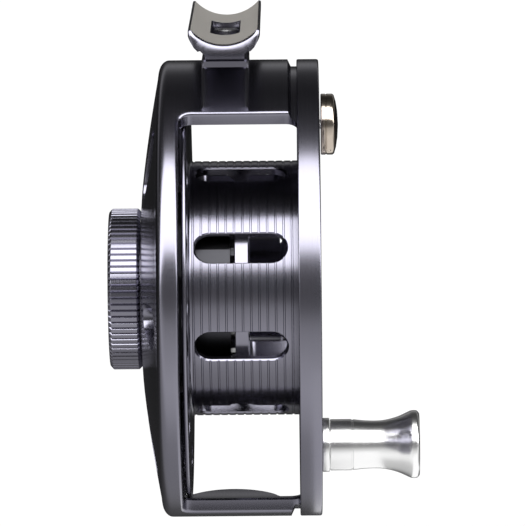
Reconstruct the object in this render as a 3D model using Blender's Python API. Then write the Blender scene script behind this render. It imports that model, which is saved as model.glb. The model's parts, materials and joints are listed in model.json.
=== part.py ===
"""A large-arbor fly reel with a sealed disc drag, hanging from its foot as it does under a rod.

Frame of the model: the origin is the middle of the foot's saddle, where the rod's reel seat rests.
+X runs along the spool's axis towards the crank handle, -Y is the side where the line leaves, +Z is up.
Lengths below are in millimetres, and turned parts are sections of (distance along X, radius).
Angles "ahead" are measured about the spool's axis, from straight up towards the front (-Y).
"""

import math

import bmesh
import bpy
from mathutils import Matrix

MM = 0.001
GAP = 0.3  # left between pieces that touch

# Frame
AXIS_DROP = 55.0  # from the foot's saddle down to the spool's axis
OUTER_R = 48.2  # frame and spool rim
FRAME_INNER_R = 45.2
HUB_X = -18.0  # outer face of the frame's hub, under the drag knob
HUB_R = 19.0
DOME_R = 45.2  # where the back plate's dome turns into its round shoulder
DOME_RISE = 3.8
SHOULDER_X = -12.0
PLATE = 2.6  # thickness of the back plate
POCKET_R = 22.3  # the hub is thicker inside this radius, behind the drag
BOSS_R = 11.0
HUB_BORE_R = 8.0
BAR_END_X = 12.9
RING_R = 46.7  # the frame's front ring, which runs inside the spool's rim
WINDOW_X = (-9.6, 15.0)
RING_END_X = 17.4
WINDOW_CORNER = 2.5
TOP_BAR_HALF = 33.4  # degrees ahead of the top, and behind it
BOTTOM_BAR = (158.3, 182.0)  # degrees ahead
BOTTOM_BAR_BULGE = 7.1  # degrees that the bar's rear edge swells backwards in its middle
PORTS = 6
FIRST_PORT = 33.5
PORT = (26.0, 42.6, 6.4, 9.2)  # radii, then widths, of each opening's inner and outer ends

# Foot
PEDESTAL_HALF_X = 4.85
PEDESTAL_HALF_Y = 14.6
PEDESTAL_TOP = 50.0  # above the spool's axis
FOOT_HALF_LENGTH = 32.0
FOOT_HALF_WIDTH = 7.35
FOOT_CORNER = 1.2
SADDLE_R = 9.2
SADDLE_FACETS = 9
FOOT_END_THICKNESS = 1.9
FOOT_RAMP = 0.18
STEM_HALF_X = 4.25
STEM_HALF_Y = 16.4  # where the ramps under the foot's ends meet the flat sole
POCKET = (3.1, 13.0, 2.6)  # half width, half length and depth of the recess for the screws
FOOT_SCREW_Y = 8.0

# Spool
ARBOR_R = 26.85
ARBOR_INNER_R = 25.2
BACK_X = -9.0
BACK_FLANGE_R = 44.8
FACE_X = 19.4  # outer face of the spool
FACE_BACK_X = 17.8
RIM_X = 14.8
RIM_INNER_R = 47.1
WEB_X = (1.7, 4.3)
HUB_FRONT_R = 11.4
SLOTS = 8
FIRST_SLOT = 18.2  # degrees ahead of the top, in line with the counterweight
SLOT = (-6.6, 12.3, 3.15)  # ends along X and half width of each slot in the arbor
SLOT_DEPTH_R = 23.3  # each slot runs on a little way into the web
WEB_HOLE = (15.6, 3.9)  # distance from the axis, and radius
FACE_PORTS = 16
FACE_PORT = (31.0, 43.6, 5.4, 8.6)
CRANK_R = 38.0
COUNTERWEIGHT_R = 6.35

# Drag
KNOB_R = 17.0
PRONG_R = 5.8  # the pressure spider's prongs, which pass through the spindle and the housing
DETENTS = 12
DETENT_R = 14.2
HOUSING_R = 22.0
HOUSING_SCREW_R = 13.6
KEY_R = 21.3  # reach of the keys that stop the drag's plates turning
GEAR_TEETH = 36
PAWL_AHEAD = 14.0
PAWL_R = 17.3

CUT_AS_MANIFOLDS = ("frame", "drag_housing")  # the exact solver leaves open edges in these two


# Tools for shaping


def material(name, colour, roughness, metallic):
    made = bpy.data.materials.new(name)
    made.use_nodes = True
    shader = made.node_tree.nodes["Principled BSDF"]
    shader.inputs["Base Color"].default_value = (*colour, 1)
    shader.inputs["Roughness"].default_value = roughness
    shader.inputs["Metallic"].default_value = metallic
    return made


def empty(name, location, parent=None):
    made = bpy.data.objects.new(name, None)
    bpy.context.scene.collection.objects.link(made)
    made.parent = parent
    made.location = [c * MM for c in location]
    return made


def add(name, bm, finish, parent):
    """Turns a bmesh into an object. With no finish, it is a cutter."""
    bmesh.ops.recalc_face_normals(bm, faces=bm.faces)
    mesh = bpy.data.meshes.new(name)
    bm.to_mesh(mesh)
    bm.free()
    obj = bpy.data.objects.new(name, mesh)
    bpy.context.scene.collection.objects.link(obj)
    obj.parent = parent
    if finish:
        mesh.materials.append(finish)
        mesh.shade_smooth()
        mesh.set_sharp_from_angle(angle=math.radians(35))
    else:
        obj.hide_render = True
        obj.display_type = "WIRE"
    return obj


def turned(section, steps=20):
    """A section of (x, radius) spun about X. One that starts on the axis also ends on it."""
    bm = bmesh.new()
    verts = [bm.verts.new((x * MM, 0, r * MM)) for x, r in section]
    edges = [bm.edges.new(pair) for pair in zip(verts, verts[1:])]
    if section[0][1] > 0:
        edges.append(bm.edges.new((verts[-1], verts[0])))
    spun = {"cent": (0, 0, 0), "axis": (1, 0, 0), "angle": 2 * math.pi, "steps": steps}
    bmesh.ops.spin(bm, geom=verts + edges, use_merge=True, **spun)
    bmesh.ops.remove_doubles(bm, verts=bm.verts, dist=1e-7)
    return bm


def ring(x0, x1, r_in, r_out, steps=20):
    return turned([(x0, r_in), (x0, r_out), (x1, r_out), (x1, r_in)], steps)


def bead(x, r, half_width, half_height):
    """A rubber ring of six-sided section."""
    turns = [math.radians(60 * k) for k in range(6)]
    return turned([(x + half_width * math.cos(t), r + half_height * math.sin(t)) for t in turns])


def rod(x0, x1, r, steps=12):
    return turned([(x0, 0), (x0, r), (x1, r), (x1, 0)], steps)


def prism(outline, x0, x1):
    """An outline of (y, z) extruded along X."""
    bm = bmesh.new()
    face = bm.faces.new([bm.verts.new((x0 * MM, y * MM, z * MM)) for y, z in outline])
    pushed = bmesh.ops.extrude_face_region(bm, geom=[face])["geom"]
    verts = [v for v in pushed if isinstance(v, bmesh.types.BMVert)]
    bmesh.ops.translate(bm, verts=verts, vec=((x1 - x0) * MM, 0, 0))
    return bm


def hexagon(across_flats):
    r = across_flats / 2 / math.cos(math.radians(30))
    return [place(60 * k, r) for k in range(6)]


def box(x, y, z):
    """A block between the given pairs of limits."""
    bm = bmesh.new()
    bmesh.ops.create_cube(bm, size=1)
    for v in bm.verts:
        v.co = [((a + b) / 2 + c * (b - a)) * MM for (a, b), c in zip((x, y, z), v.co)]
    return bm


def place(degrees, out):
    """The point (y, z) at this angle ahead of the top and this far from the axis."""
    a = math.radians(degrees)
    return -out * math.sin(a), out * math.cos(a)


def moved(bm, x=0.0, y=0.0, z=0.0):
    bmesh.ops.translate(bm, verts=bm.verts, vec=(x * MM, y * MM, z * MM))
    return bm


def ahead(bm, degrees, out=0.0):
    """Moves a shape out from the axis and turns it towards the front."""
    moved(bm, z=out)
    turn = Matrix.Rotation(math.radians(degrees), 3, "X")
    bmesh.ops.rotate(bm, verts=bm.verts, cent=(0, 0, 0), matrix=turn)
    return bm


def upright(bm):
    """Turns a shape made along X so that it stands along Z."""
    turn = Matrix.Rotation(math.radians(-90), 3, "Y")
    bmesh.ops.rotate(bm, verts=bm.verts, cent=(0, 0, 0), matrix=turn)
    return bm


def combine(target, bm, operation):
    other = add(f"{target.name}.tool", bm, None, target.parent)
    modifier = target.modifiers.new(operation.lower(), "BOOLEAN")
    modifier.operation = operation
    modifier.solver = "MANIFOLD" if target.name in CUT_AS_MANIFOLDS else "EXACT"
    modifier.object = other


def cut(target, bm):
    combine(target, bm, "DIFFERENCE")


def join(target, bm):
    combine(target, bm, "UNION")


def rounded(corners, radius, steps=2):
    """An outline with each corner rounded by an arc tangent to its two sides."""
    points = []
    for k, (cy, cz) in enumerate(corners):
        sides = []
        for other in (corners[k - 1], corners[(k + 1) % len(corners)]):
            length = math.dist(other, (cy, cz))
            sides.append(((other[0] - cy) / length, (other[1] - cz) / length))
        (ay, az), (by, bz) = sides
        half = math.acos(ay * by + az * bz) / 2
        across = radius / math.sin(half) / math.hypot(ay + by, az + bz)
        my, mz = cy + (ay + by) * across, cz + (az + bz) * across
        reach = radius / math.tan(half)
        start = math.atan2(cz + az * reach - mz, cy + ay * reach - my)
        end = math.atan2(cz + bz * reach - mz, cy + by * reach - my)
        sweep = (end - start + math.pi) % (2 * math.pi) - math.pi
        arc = [start + sweep * i / steps for i in range(steps + 1)]
        points += [(my + radius * math.cos(a), mz + radius * math.sin(a)) for a in arc]
    return points


def skin(bm, loops):
    """Closes a body through loops of points. The second half of each loop runs back along the first."""
    count = len(loops[0])
    for first, second in zip(loops, loops[1:]):
        for i in range(count):
            j = (i + 1) % count
            bm.faces.new((first[i], first[j], second[j], second[i]))
    for end in (loops[0], loops[-1]):
        for i in range(count // 2 - 1):
            bm.faces.new((end[i], end[i + 1], end[count - 2 - i], end[count - 1 - i]))
    bmesh.ops.triangulate(bm, faces=bm.faces)


def port(r0, r1, inner_width, outer_width, x0, x1):
    """A cutter for a radial opening that widens outwards, with round ends."""
    a, b = inner_width / 2, outer_width / 2
    corners = [(-a, r0), (a, r0), (b, r1), (-b, r1)]
    return prism(rounded(corners, 0.9 * a), x0, x1)


def wire(name, points, thickness, finish, parent):
    """A spring's wire along a list of points."""
    curve = bpy.data.curves.new(name, "CURVE")
    curve.dimensions = "3D"
    curve.bevel_depth = thickness / 2 * MM
    curve.bevel_resolution = 1
    curve.use_fill_caps = True
    spline = curve.splines.new("POLY")
    spline.points.add(len(points) - 1)
    for point, (x, y, z) in zip(spline.points, points):
        point.co = (x * MM, y * MM, z * MM, 1)
    curve.materials.append(finish)
    obj = bpy.data.objects.new(name, curve)
    bpy.context.scene.collection.objects.link(obj)
    obj.parent = parent
    return obj


def coil(x0, x1, r, turns, per_turn=8):
    """Points of a spring's coil about X."""
    count = round(turns * per_turn)
    points = []
    for i in range(count + 1):
        y, z = place(360 * turns * i / count, r)
        points.append((x0 + (x1 - x0) * i / count, y, z))
    return points


def screw(name, head_x, head_r, head_length, shank_r, shank_length, parent, way=1):
    """A hex-socket screw along X. Its shank runs the given way from under the head."""
    shank = head_x + way * shank_length
    face = head_x - way * head_length
    rim = face + way * 0.25
    section = [(shank, 0), (shank, shank_r), (head_x, shank_r), (head_x, head_r), (rim, head_r)]
    made = add(name, turned([*section, (face, head_r - 0.25), (face, 0)], 12), STEEL, parent)
    depth = face + way * 0.7 * head_length
    cut(made, prism(hexagon(1.05 * head_r), min(face - way, depth), max(face - way, depth)))
    return made


# Frame and foot


def dome_x(r):
    """Outer face of the back plate at this radius."""
    return HUB_X + DOME_RISE * max(0.0, (r - HUB_R) / (DOME_R - HUB_R)) ** 1.28


def frame_section():
    dome = [(dome_x(r), r) for r in (HUB_R, 24, 29.5, 35, 40.5, DOME_R)]
    shoulder = []
    for t in (35, 65, 90):
        drop = (dome_x(DOME_R) - SHOULDER_X) * math.cos(math.radians(t))
        rise = (OUTER_R - DOME_R) * math.sin(math.radians(t))
        shoulder.append((SHOULDER_X + drop, DOME_R + rise))
    inside = [(dome_x(r) + PLATE, r) for r in (43.5, 37, 29.5, POCKET_R + 1.2)]
    boss = [(-22.6, HUB_BORE_R), (-22.6, BOSS_R)]
    seal_groove = [(-22.0, BOSS_R), (-22.0, 10.2), (-21.2, 10.2), (-21.2, BOSS_R)]
    front = [(BAR_END_X, OUTER_R), (BAR_END_X + 0.7, RING_R), (RING_END_X, RING_R)]
    wall = [(RING_END_X, FRAME_INNER_R), (-11.2, FRAME_INNER_R)]
    spindle_seat = [(-13.4, POCKET_R), (-13.4, 11.6), (-15.2, 11.6), (-15.2, HUB_BORE_R)]
    outside = [*boss, *seal_groove, (HUB_X, BOSS_R), *dome, *shoulder, *front]
    return [*outside, *wall, *inside, *spindle_seat]


def corner_inset(x):
    """How far a window's rounded corners pull its edge in at x."""
    d = min(x - WINDOW_X[0], WINDOW_X[1] - x)
    short = max(0.0, WINDOW_CORNER - d)
    return WINDOW_CORNER - math.sqrt(max(0.0, WINDOW_CORNER**2 - short**2))


def bulge(x):
    """Shape of the bottom bar's swollen rear edge, from 0 to 1."""
    return max(0.0, 1 - ((x - 0.6) / 9.6) ** 2) ** 0.6


def window(start, end, swell=0.0, columns=12):
    """A cutter for one opening in the frame's wall, from one angle ahead to another."""
    lo, hi = WINDOW_X
    corner = [WINDOW_CORNER * (1 - math.cos(math.radians(t))) for t in (0, 35, 65, 90)]
    middle = [lo + (hi - lo) * k / 10 for k in range(2, 9)]
    stations = [lo + c for c in corner] + middle + [hi - c for c in reversed(corner)]
    bm = bmesh.new()
    loops = []
    for x in stations:
        inset = math.degrees(corner_inset(x) / OUTER_R)
        first, last = start + inset + swell * bulge(x), end - inset
        angles = [first + (last - first) * i / columns for i in range(columns + 1)]
        around = [place(a, 56.0) for a in angles] + [place(a, 38.0) for a in reversed(angles)]
        loops.append([bm.verts.new((x * MM, y * MM, z * MM)) for y, z in around])
    skin(bm, loops)
    return bm


def pedestal():
    """The block on top of the frame that carries the foot, shaped to the wall beneath it."""
    under = [place(-t, FRAME_INNER_R + 1.2) for t in (33, 22, 11, 0, -11, -22, -33)]
    slope = [(-26.5, 40.1), (-24.9, 41.75), (-PEDESTAL_HALF_Y, PEDESTAL_TOP - 1.5)]
    front = [*slope, (-PEDESTAL_HALF_Y, PEDESTAL_TOP)]
    back = [(-y, z) for y, z in reversed(front)]
    bm = prism([*front, *back, *under], -PEDESTAL_HALF_X, PEDESTAL_HALF_X)
    rims = [e for e in bm.edges if abs(e.verts[0].co.x - e.verts[1].co.x) < 1e-6]
    rims = [e for e in rims if min(v.co.z for v in e.verts) > 41.7 * MM]
    rims = [e for e in rims if max(abs(v.co.y) for v in e.verts) > 14.7 * MM]
    bmesh.ops.bevel(bm, geom=rims, offset=0.9 * MM, segments=1, affect="EDGES")
    return bm


def build_frame():
    frame = add("frame", turned(frame_section(), 40), ANODISED, SPOOL_AXIS)
    join(frame, pedestal())
    cut(frame, window(TOP_BAR_HALF, BOTTOM_BAR[0]))
    cut(frame, window(BOTTOM_BAR[1], 360 - TOP_BAR_HALF, BOTTOM_BAR_BULGE))
    for k in range(PORTS):
        cut(frame, ahead(port(*PORT, -20, -10), FIRST_PORT + 360 / PORTS * k))
    for y in (-FOOT_SCREW_Y, FOOT_SCREW_Y):
        cut(frame, moved(upright(rod(45.6, 52, 1.7)), y=y))
    for k in range(3):
        cut(frame, ahead(rod(-19, -12, 1.4), 60 + 120 * k, HOUSING_SCREW_R))
        cut(frame, ahead(rod(-19, -16.2, 2.3), 60 + 120 * k, HOUSING_SCREW_R))
    cut(frame, ahead(rod(-19, -14.6, 1.3), 0, DETENT_R))


def saddle_z(x):
    """Height of the foot's saddle above the flat strip along its middle."""
    strip = (FOOT_HALF_WIDTH - 0.5) / SADDLE_FACETS
    return math.sqrt(SADDLE_R**2 - strip**2) - math.sqrt(SADDLE_R**2 - max(x, strip) ** 2)


def foot_loop(y):
    """Points (x, z) round the foot at y: the saddle's arc, then the two sides and the sole."""
    end = max(0.0, abs(y) - (FOOT_HALF_LENGTH - FOOT_CORNER))
    half = FOOT_HALF_WIDTH - FOOT_CORNER + math.sqrt(FOOT_CORNER**2 - end**2)
    inner = half - 0.5
    across = [inner * (2 * k / SADDLE_FACETS - 1) for k in range(SADDLE_FACETS + 1)]
    saddle = [(x, saddle_z(abs(x))) for x in across]
    thickness = FOOT_END_THICKNESS + FOOT_RAMP * (FOOT_HALF_LENGTH - abs(y))
    sole = max(PEDESTAL_TOP + GAP - AXIS_DROP, -thickness)
    edge = saddle_z(inner)
    side = [(half, edge), (half, edge - 1.9), (5.6, max(-0.6, sole / 2))]
    right = [*side, (STEM_HALF_X, max(-2.2, sole)), (STEM_HALF_X - 0.2, sole - 0.01)]
    left = [(-x, z) for x, z in reversed(right)]
    return [*saddle, *right, *left]


def foot_body():
    half = [FOOT_HALF_LENGTH - d for d in (0, 0.3, 0.8, FOOT_CORNER)]
    half += [24.0, STEM_HALF_Y]
    stations = [-y for y in half] + list(reversed(half))
    bm = bmesh.new()
    skin(bm, [[bm.verts.new((x * MM, y * MM, z * MM)) for x, z in foot_loop(y)] for y in stations])
    return bm


def build_foot():
    foot = add("reel_foot", foot_body(), RAW_ALUMINIUM, SADDLE)
    half_x, half_y, depth = POCKET
    cut(foot, box((-half_x, half_x), (-half_y, half_y), (-depth, 5)))
    for y, name in ((-FOOT_SCREW_Y, "foot_screw_front"), (FOOT_SCREW_Y, "foot_screw_rear")):
        cut(foot, moved(upright(rod(-6, 1, 1.7)), y=y))
        stand = empty(f"{name}.stand", (0, y, 0), SADDLE)
        stand.rotation_euler = (0, math.radians(90), 0)
        screw(name, POCKET[2] - GAP, 2.6, 1.5, 1.4, 6.4, stand)


# Drag


def key(degrees, x0, x1, reach, half_width):
    """A key on the edge of a drag plate, or the groove it slides in."""
    return ahead(box((x0, x1), (-half_width, half_width), (19.0, reach)), degrees)


def build_housing():
    cup = [(-13.1, 3.7), (-13.1, HOUSING_R), (0.6, HOUSING_R), (0.6, 20.4), (-11.1, 20.4), (-11.1, 3.7)]
    housing = add("drag_housing", turned(cup, 24), DARK_STEEL, SPOOL_AXIS)
    cut(housing, ring(-1.1, -0.4, 19.5, 21.4, 24))
    for k in range(3):
        name = f"housing_screw_{k + 1}"
        cut(housing, key(120 * k, -10.9, -2.6, KEY_R + 0.2, 2.4))
        cut(housing, ahead(rod(-14, -10, 1.4), 60 + 120 * k, HOUSING_SCREW_R))
        cut(housing, ahead(rod(-14, -10, 1.3), 120 * k, PRONG_R))
        stand = empty(f"{name}.stand", (0, *place(60 + 120 * k, HOUSING_SCREW_R)), SPOOL_AXIS)
        screw(name, -16.5, 2.1, 1.3, 1.1, 5.0, stand)


def build_spindle():
    tapped_end = [(-17.0, 0), (-17.0, 1.7), (-22.6, 1.7), (-22.6, 3.0)]
    flange = [(-14.9, 3.0), (-14.9, 11.3), (-13.5, 11.3)]
    groove = [(13.8, 3.3), (13.8, 2.6), (14.8, 2.6), (14.8, 3.3)]
    front = [(-13.5, 3.3), *groove, (15.2, 3.3), (15.6, 2.9), (15.6, 0)]
    spindle = add("spindle", turned([*tapped_end, *flange, *front], 16), STEEL, SPOOL_AXIS)
    for k in range(3):
        cut(spindle, ahead(rod(-16, -12, 1.3), 120 * k, PRONG_R))
    add("retainer_oring", bead(14.3, 3.2, 0.45, 0.45), RUBBER, SPOOL_AXIS)


def build_knob():
    outside = [(-24.1, 1.8), (-24.1, 3.2), (-25.0, 3.2), (-25.0, 16.5)]
    outside += [(-24.5, KNOB_R), (-18.8, KNOB_R), (-18.3, 16.5)]
    groove = [(-18.3, 15.6), (-19.2, 15.6), (-19.2, 12.8), (-18.3, 12.8)]
    inside = [(-18.3, 11.5), (-23.1, 11.5), (-23.1, 1.8)]
    knob = add("drag_knob", turned([*outside, *groove, *inside], 32), ANODISED, SPOOL_AXIS)
    drive = prism(hexagon(9.4), -23.4, -19.6)
    join(knob, drive)
    cut(knob, rod(-22.9, -19, 3.4, 16))
    cut(knob, rod(-24.0, -22, 1.8, 16))
    for k in range(DETENTS):
        notch = prism([(-0.7, 12.9), (0.7, 12.9), (0.7, 15.5), (-0.7, 15.5)], -19.6, -19.0)
        cut(knob, ahead(notch, 360 / DETENTS * k))
    screw("knob_screw", -24.15, 2.8, 0.75, 1.4, 5.6, SPOOL_AXIS)
    add("knob_seal", bead(-21.6, 10.85, 0.3, 0.5), RUBBER, SPOOL_AXIS)
    behind = empty("detent", (0, *place(0, DETENT_R)), SPOOL_AXIS)
    plunger = [(-19.1, 0), (-18.9, 0.5), (-18.5, 0.9), (-17.0, 0.9), (-17.0, 0)]
    add("detent_plunger", turned(plunger, 12), STEEL, behind)
    wire("detent_spring", coil(-16.5, -15.1, 0.7, 3), 0.3, STEEL, behind)


def build_adjuster():
    body = ring(-22.0, -17.5, 3.5, 7.7, 24)
    adjuster = add("adjuster_screw", body, BRASS, SPOOL_AXIS)
    cut(adjuster, prism(hexagon(9.9), -23, -18.7))
    spider = add("pressure_spider", ring(-17.2, -16.2, 3.5, 7.5, 24), STEEL, SPOOL_AXIS)
    for k in range(3):
        join(spider, ahead(rod(-16.7, -10.9, 1.0), 120 * k, PRONG_R))


def keyed_disc(name, x0, x1, r_in, finish):
    disc = add(name, ring(x0, x1, r_in, 20.1, 24), finish, SPOOL_AXIS)
    for k in range(3):
        join(disc, key(120 * k, x0, x1, KEY_R, 2.1))
    return disc


def cone(x0, x1, thickness):
    """A disc spring, whose inner edge is at x0 and outer edge at x1."""
    section = [(x0, 10.6), (x1, 17.4), (x1 + thickness, 17.4), (x0 + thickness, 10.6)]
    return turned(section, 24)


def build_drag():
    keyed_disc("pressure_plate", -10.6, -9.5, 4.0, STEEL)
    add("drag_spring_1", cone(-7.6, -8.4, 0.5), STEEL, SPOOL_AXIS)
    add("drag_spring_2", cone(-6.9, -6.1, 0.5), STEEL, SPOOL_AXIS)
    keyed_disc("stator_disc", -5.4, -4.7, 10.4, STEEL)
    add("friction_disc_1", ring(-4.6, -4.0, 10.6, 19.2, 24), CARBON, SPOOL_AXIS)
    sleeve = [(-2.7, 9.6), (-2.7, 7.7), (-8.2, 7.7), (-8.2, 9.6)]
    disc = [(-3.9, 9.6), (-3.9, 19.0), (-3.3, 19.0), (-3.3, 9.6)]
    add("drag_rotor", turned([*sleeve, *disc], 24), STEEL, SPOOL_AXIS)
    add("friction_disc_2", ring(-3.2, -2.6, 10.6, 19.2, 24), CARBON, SPOOL_AXIS)
    add("roller_clutch", ring(-8.1, -2.8, 5.6, 7.6, 24), DARK_STEEL, SPOOL_AXIS)
    tube = [(-8.2, 3.6), (-8.2, 5.3), (-0.6, 5.3), (-0.6, 7.2), (1.3, 7.2), (1.3, 3.6)]
    hub = add("drive_hub", turned(tube, 16), STEEL, SPOOL_AXIS)
    join(hub, prism([*hexagon(15.2)], -0.5, 1.25))
    cut(hub, rod(-1, 2, 3.6, 16))
    add("shaft_seal", ring(-2.3, -1.3, 5.6, 8.2, 24), RUBBER, SPOOL_AXIS)
    cover = add("drag_cover", ring(-2.3, -1.3, 8.5, 20.0, 24), DARK_STEEL, SPOOL_AXIS)
    cut(cover, ahead(rod(-3, 0, 0.9), PAWL_AHEAD, PAWL_R))
    add("cover_clip", ring(-1.0, -0.5, 19.7, 21.1, 24), STEEL, SPOOL_AXIS)


def gear_outline(r_root, r_tip, teeth):
    """Pointed teeth with a valley at the top."""
    points = []
    for k in range(teeth):
        points.append(place(360 / teeth * k, r_root))
        points.append(place(360 / teeth * (k + 0.5), r_tip))
    return points


def build_click():
    gear = add("click_gear", prism(gear_outline(13.2, 14.1, GEAR_TEETH), -0.2, 1.4), STEEL, SPOOL_AXIS)
    cut(gear, rod(-1, 2, 11.1, 24))
    pivot = empty("pawl_pivot", (0, *place(PAWL_AHEAD, PAWL_R)), SPOOL_AXIS)
    add("pawl_pin", rod(-2.2, 1.2, 0.65, 12), STEEL, pivot)
    tip_y, tip_z = place(0, 13.7)
    pin_y, pin_z = place(PAWL_AHEAD, PAWL_R)
    reach_y, reach_z = tip_y - pin_y, tip_z - pin_z
    body = [(1.5, -1.0), (1.3, 1.0), (-0.4, 1.7), (-1.6, 0.6), (-1.3, -1.1)]
    beak = [(reach_y - 0.6, reach_z + 0.9), (reach_y, reach_z), (reach_y + 0.7, reach_z + 1.1)]
    pawl = add("click_pawl", prism([*body, *beak], -0.2, 0.9), STEEL, pivot)
    cut(pawl, rod(-1, 2, 0.8, 12))
    turns = coil(-1.0, -0.45, 1.15, 2)
    wire("pawl_spring", [(-1.0, -3.4, 0.6), *turns, (-0.45, 3.4, 0.9)], 0.25, STEEL, pivot)


# Spool


def spool_section():
    hub_rear = [(-0.6, 7.4), (-0.6, 10.8), (WEB_X[0], 10.8)]
    rear_corner = [(WEB_X[0], 23.7), (0.2, ARBOR_INNER_R)]
    flange = [(BACK_X, ARBOR_INNER_R), (BACK_X, BACK_FLANGE_R - 0.3), (BACK_X + 0.3, BACK_FLANGE_R)]
    flange += [(BACK_X + 1.0, BACK_FLANGE_R), (BACK_X + 1.0, ARBOR_R + 0.6), (BACK_X + 1.6, ARBOR_R)]
    face_back = [(FACE_BACK_X - 0.6, ARBOR_R), (FACE_BACK_X, ARBOR_R + 0.6), (FACE_BACK_X, RIM_INNER_R)]
    rim = [(RIM_X, RIM_INNER_R), (RIM_X, OUTER_R - 0.3), (RIM_X + 0.3, OUTER_R)]
    rim += [(FACE_X - 0.4, OUTER_R), (FACE_X, OUTER_R - 0.4)]
    face = [(FACE_X, ARBOR_INNER_R + 0.4), (FACE_X - 0.4, ARBOR_INNER_R)]
    front_corner = [(WEB_X[1] + 1.5, ARBOR_INNER_R), (WEB_X[1], 23.7), (WEB_X[1], HUB_FRONT_R)]
    hub_front = [(11.0, HUB_FRONT_R), (11.0, 9.4), (13.6, 9.4), (13.6, 7.4)]
    hub_front += [(9.6, 7.4), (9.6, 6.3), (5.8, 6.3), (5.8, 7.4)]
    return [*hub_rear, *rear_corner, *flange, *face_back, *rim, *face, *front_corner, *hub_front]


def slot(half_width, x0, x1):
    """A cutter for one obround slot through the top of the arbor."""
    corners = [(-half_width, -x1), (half_width, -x1), (half_width, -x0), (-half_width, -x0)]
    return upright(prism(rounded(corners, half_width - 0.05, 4), SLOT_DEPTH_R, 30))


def build_spool():
    spool = add("spool", turned(spool_section(), 40), ANODISED, SPOOL_AXIS)
    cut(spool, prism(hexagon(15.6), -1, WEB_X[0]))
    for k in range(SLOTS):
        cut(spool, ahead(slot(SLOT[2], SLOT[0], SLOT[1]), FIRST_SLOT + 360 / SLOTS * k))
        cut(spool, ahead(rod(1, 5, WEB_HOLE[1], 16), FIRST_SLOT + 360 / SLOTS * k, WEB_HOLE[0]))
        cut(spool, ahead(rod(BACK_X - 1, BACK_X + 2, 4.2, 12), FIRST_SLOT + 360 / SLOTS * (k + 0.5), 36.0))
    for k in range(FACE_PORTS):
        if k % (FACE_PORTS // 2):
            cut(spool, ahead(port(*FACE_PORT, 17, 20), FIRST_SLOT + 360 / FACE_PORTS * k))
    cut(spool, ahead(rod(17, 20, 1.3), FIRST_SLOT, CRANK_R))
    cut(spool, ahead(rod(17, FACE_X - 0.6, 2.5, 16), FIRST_SLOT, CRANK_R))
    cut(spool, ahead(rod(17, 20, 2.7, 16), FIRST_SLOT + 180, CRANK_R))
    cut(spool, ahead(rod(17, FACE_X - 0.6, 3.9, 16), FIRST_SLOT + 180, CRANK_R))


def build_bearings():
    for name, x0 in (("rear", 2.0), ("front", 9.8)):
        add(f"{name}_bearing_inner", ring(x0, x0 + 3.5, 3.5, 4.6), STEEL, SPOOL_AXIS)
        add(f"{name}_bearing_cage", ring(x0 + 0.3, x0 + 3.2, 4.8, 5.9), BRASS, SPOOL_AXIS)
        add(f"{name}_bearing_outer", ring(x0, x0 + 3.5, 6.1, 7.2), STEEL, SPOOL_AXIS)
    add("bearing_spacer", ring(5.8, 9.5, 3.5, 4.4), DARK_STEEL, SPOOL_AXIS)


def build_spool_fittings():
    cap = [(15.9, 0), (15.9, 9.8), (11.4, 9.8), (11.4, 11.3), (17.9, 11.3), (18.6, 10.6), (18.6, 0)]
    hub_cap = add("hub_cap", turned(cap, 24), ANODISED, SPOOL_AXIS)
    cut(hub_cap, box((17.8, 20), (-6.0, 6.0), (-0.8, 0.8)))
    weight = [(22.0, 0), (22.0, 1.4), (19.7, 1.4), (19.7, 6.15), (19.9, COUNTERWEIGHT_R)]
    weight += [(22.1, COUNTERWEIGHT_R), (22.45, 6.0), (22.85, 4.6), (23.15, 2.6), (23.3, 0)]
    seat = empty("counterweight_seat", (0, *place(FIRST_SLOT, CRANK_R)), SPOOL_AXIS)
    add("counterweight", turned(weight, 20), NICKEL, seat)
    screw("counterweight_screw", 18.7, 2.1, 0.7, 1.0, 3.0, seat)


def grip_section():
    outside = [(21.6, 5.3), (21.8, 5.5), (25.9, 5.5), (26.1, 5.35), (26.3, 5.45), (28.6, 5.2), (30.9, 5.12)]
    flare = [(32.6, 5.2), (34.0, 5.45), (35.3, 5.8), (36.3, 6.15), (37.5, 6.7), (38.6, 7.2), (39.3, 7.3)]
    end = [(40.0, 7.2), (40.5, 6.6), (40.5, 4.3), (37.0, 4.3), (37.0, 3.65), (21.6, 3.65)]
    return [*outside, *flare, *end]


def build_handle():
    crank = empty("crank", (0, *place(FIRST_SLOT + 180, CRANK_R)), SPOOL_AXIS)
    collar = [(19.7, 2.7), (19.7, 5.6), (19.9, 5.8), (21.0, 5.8), (21.2, 5.6), (21.2, 2.7)]
    add("handle_collar", turned(collar), ALUMINIUM, crank)
    add("handle_grip", turned(grip_section(), 20), ALUMINIUM, crank)
    add("handle_bush", ring(21.7, 36.0, 2.6, 3.4, 20), BRONZE, crank)
    post = [(30.5, 0), (30.5, 1.2), (36.2, 1.2), (36.2, 2.4)]
    post += [(18.65, 2.4), (18.65, 3.6), (17.95, 3.6), (17.95, 0)]
    add("handle_post", turned(post, 20), STEEL, crank)
    screw("handle_screw", 37.3, 3.95, 1.4, 1.0, 6.0, crank, way=-1)


for old in list(bpy.data.objects):
    bpy.data.objects.remove(old)

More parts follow.
